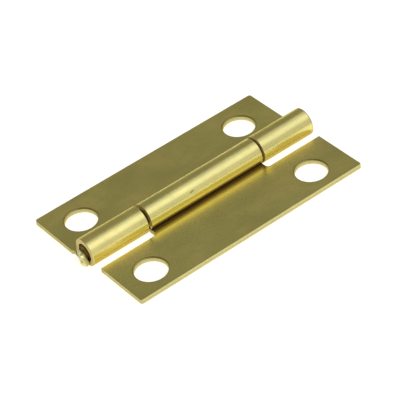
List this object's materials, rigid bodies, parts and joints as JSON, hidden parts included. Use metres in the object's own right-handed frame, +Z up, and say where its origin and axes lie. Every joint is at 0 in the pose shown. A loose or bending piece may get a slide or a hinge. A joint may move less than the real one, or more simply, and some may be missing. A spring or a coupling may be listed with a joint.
{
  "type": "butt hinge",
  "caption": "Small brass butt hinge with rolled knuckles, a pin hammered over at one end and flat leaves punched for screws, lying open.",
  "frame": {"origin": "middle of the footprint on the plane of the leaves' undersides, below the pin's centre line", "axes": "+X along the pin towards the shorter outer knuckle, +Y towards the outer edge of the leaf with the two outer knuckles, +Z up from the undersides towards the barrel's top"},
  "size_m": [0.0394, 0.0234, 0.0041],
  "materials": {
    "leaf_brass": "polished sheet with a slight haze",
    "leaf_brass_moving": "polished sheet with a slight haze",
    "pin_brass": "drawn wire, domed at the back and hammered over at the front"
  },
  "bodies": {
    "fixed_leaf": {"outer_leaf": "leaf_brass", "pin": "pin_brass"},
    "swinging_leaf": {"middle_leaf": "leaf_brass_moving"}
  },
  "joints": [
    {"name": "leaf_swing", "type": "hinge", "parent": "fixed_leaf", "child": "swinging_leaf", "pos_m": [0, 0, 0.00198], "axis": [-1, 0, 0], "range_deg": [-105, 190]}
  ]
}
